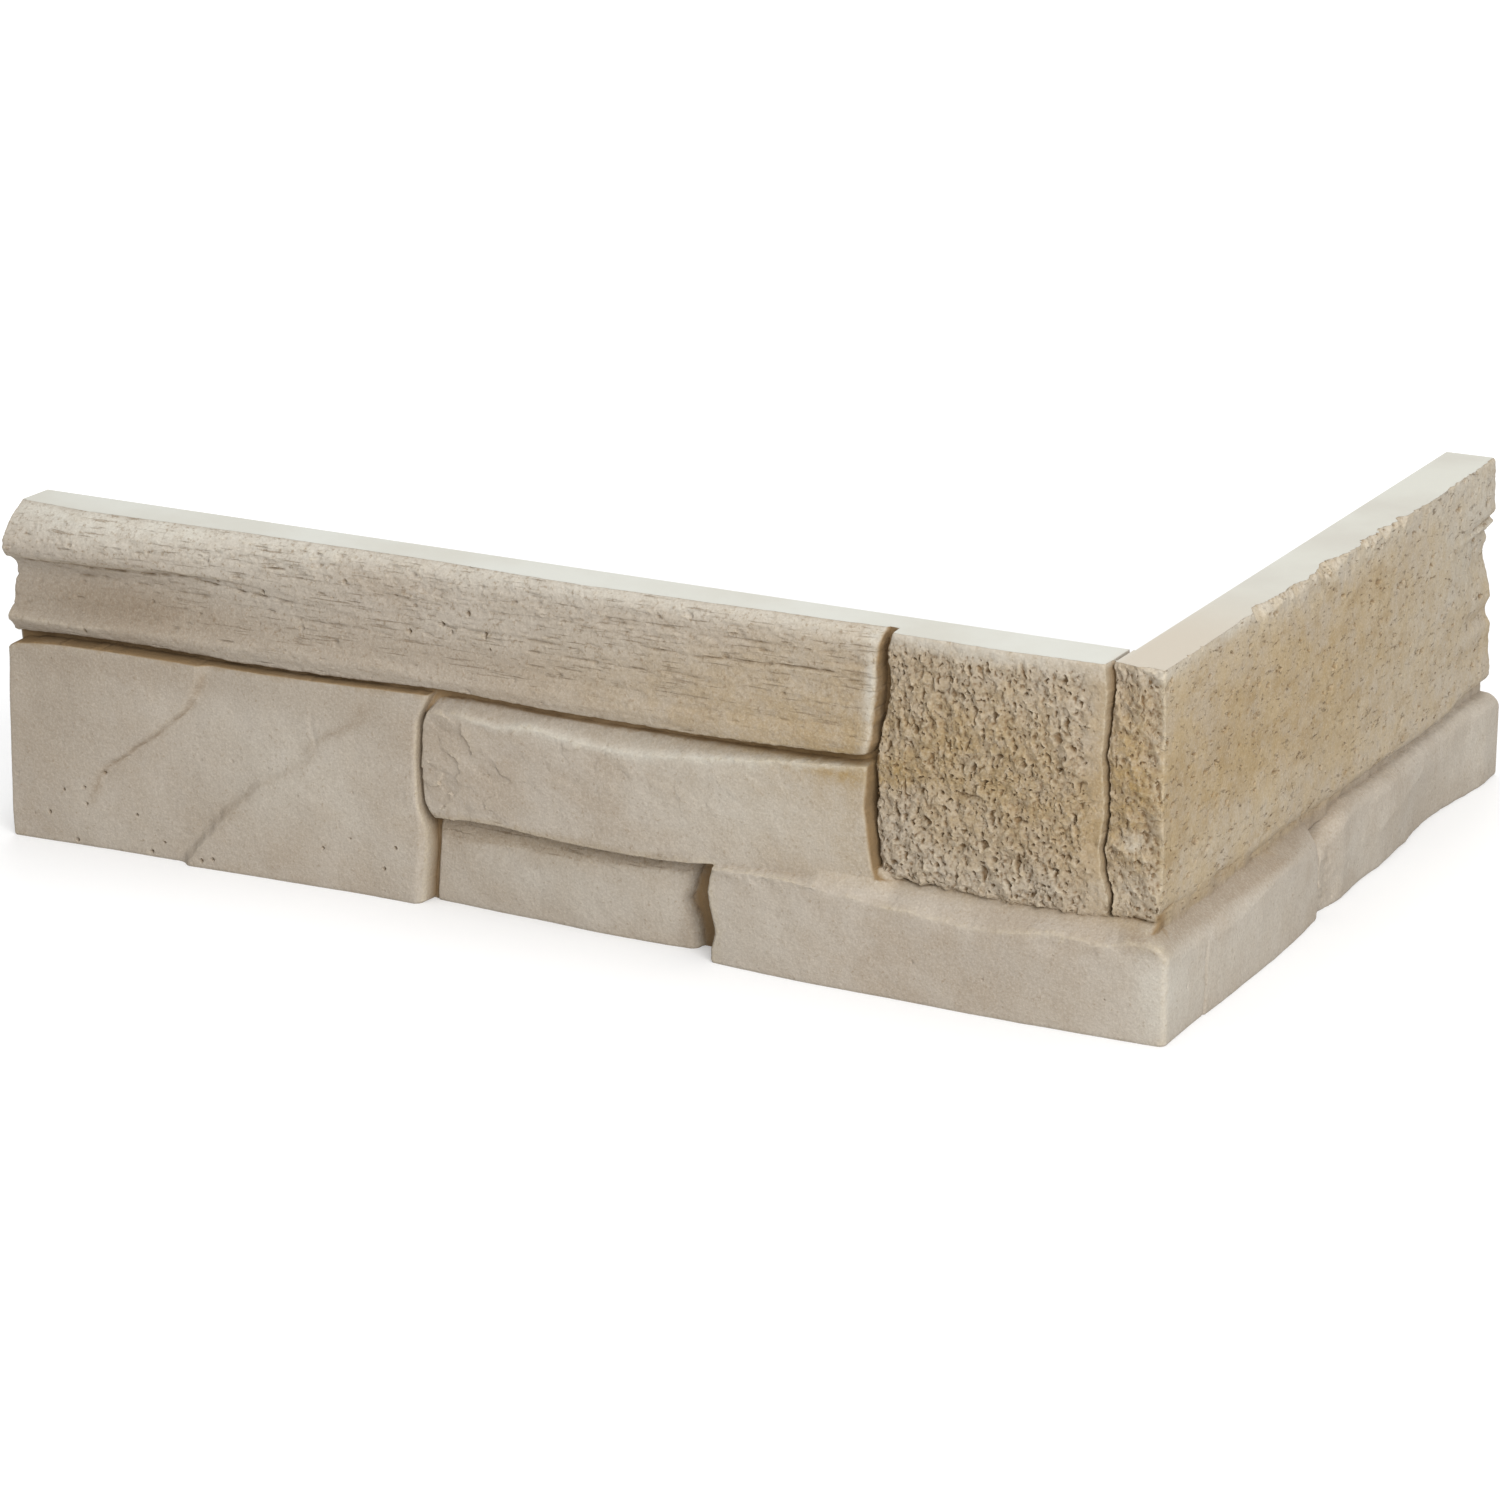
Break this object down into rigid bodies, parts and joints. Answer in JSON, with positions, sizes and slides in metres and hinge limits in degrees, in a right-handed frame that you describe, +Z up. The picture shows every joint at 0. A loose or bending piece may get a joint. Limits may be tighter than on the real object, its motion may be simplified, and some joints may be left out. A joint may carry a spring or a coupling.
{
  "type": "stone cladding corner piece",
  "caption": "L-shaped cast stone cladding corner, one course high, with a stacked-stone face and flat back, beds and ends.",
  "frame": {"origin": "inner corner of the L, where the two flat backs meet, on the bed", "axes": "+Z up, the long leg runs along -X with its back on y = 0, the short leg runs along +Y with its back on x = 0"},
  "size_m": [0.3699, 0.2599, 0.1],
  "materials": {
    "cast_stone": "matt cast stone, warm greige with ochre patches and brown joints"
  },
  "bodies": {
    "root": {"corner_panel": "cast_stone"}
  },
  "joints": []
}
